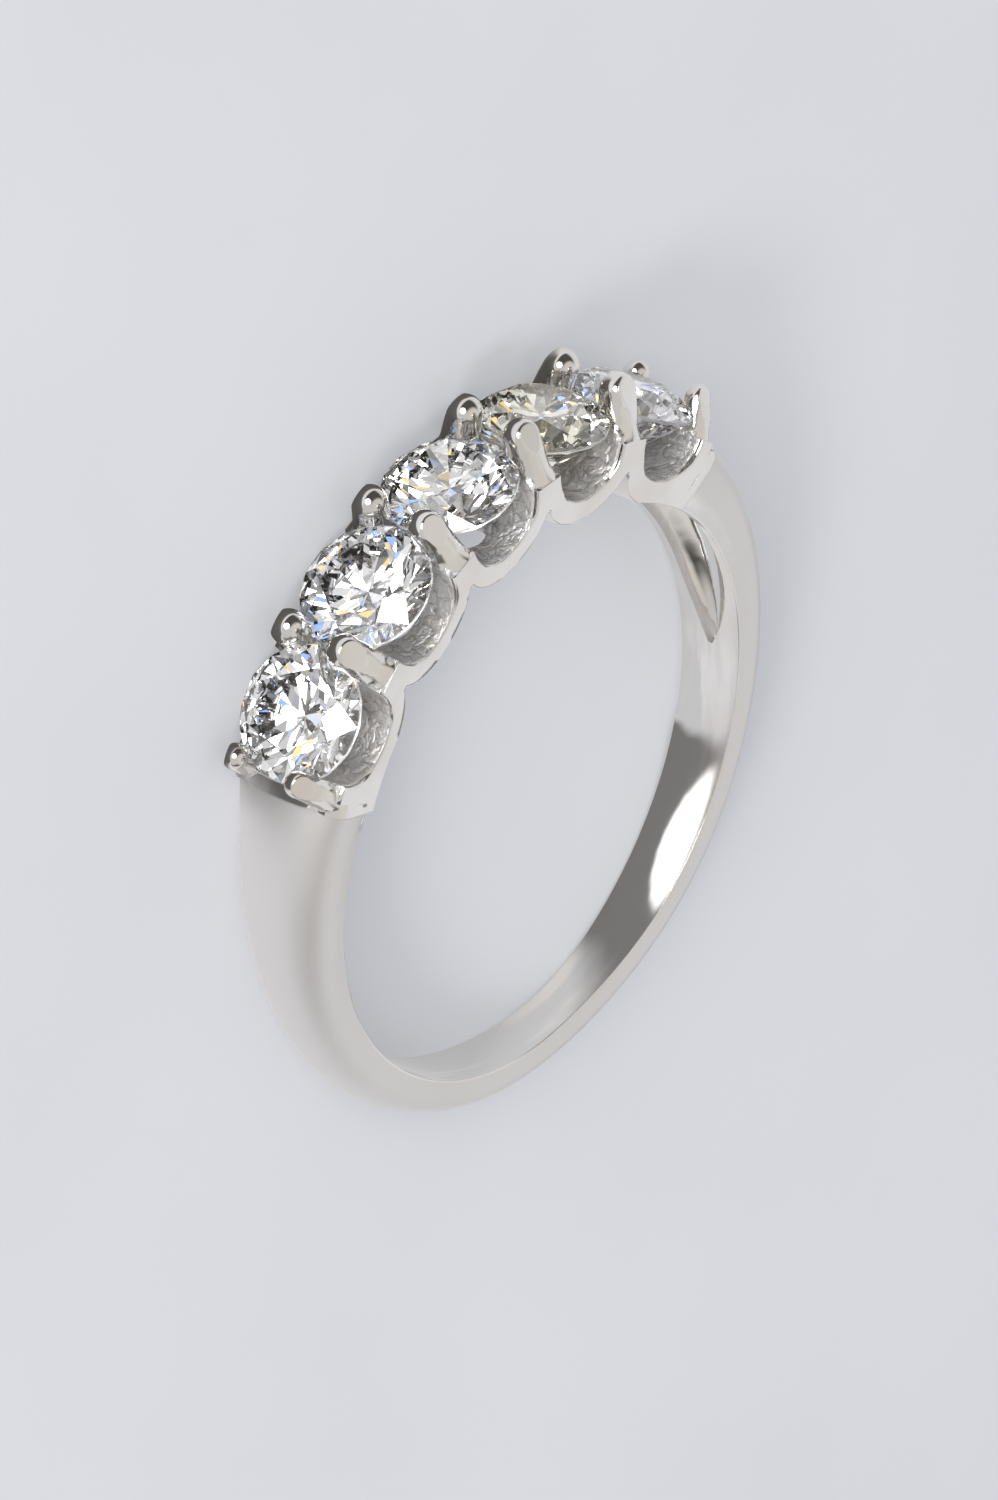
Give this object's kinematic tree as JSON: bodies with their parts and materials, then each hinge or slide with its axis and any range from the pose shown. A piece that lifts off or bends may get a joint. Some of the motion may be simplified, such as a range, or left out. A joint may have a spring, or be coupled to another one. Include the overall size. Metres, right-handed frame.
{
  "type": "half eternity ring",
  "caption": "Polished white gold half eternity ring with a row of round brilliants held by shared prongs over a scalloped gallery and a tapering domed shank.",
  "frame": {"origin": "centre of the finger hole, halfway through the width of the setting", "axes": "+Z along the finger hole's axis, so the ring lies on its side; +Y from the finger hole towards the middle stone; +X along the row of stones, from stone_1 to stone_5"},
  "size_m": [0.0202, 0.0217, 0.0038],
  "materials": {
    "white_gold": "rhodium-bright white gold, mirror polished inside, fine satin on the domed outside of the shank",
    "diamond": "clear, faceted and polished"
  },
  "bodies": {
    "root": {"ring_mount": "white_gold", "stone_1": "diamond", "stone_2": "diamond", "stone_3": "diamond", "stone_4": "diamond", "stone_5": "diamond"}
  },
  "joints": []
}
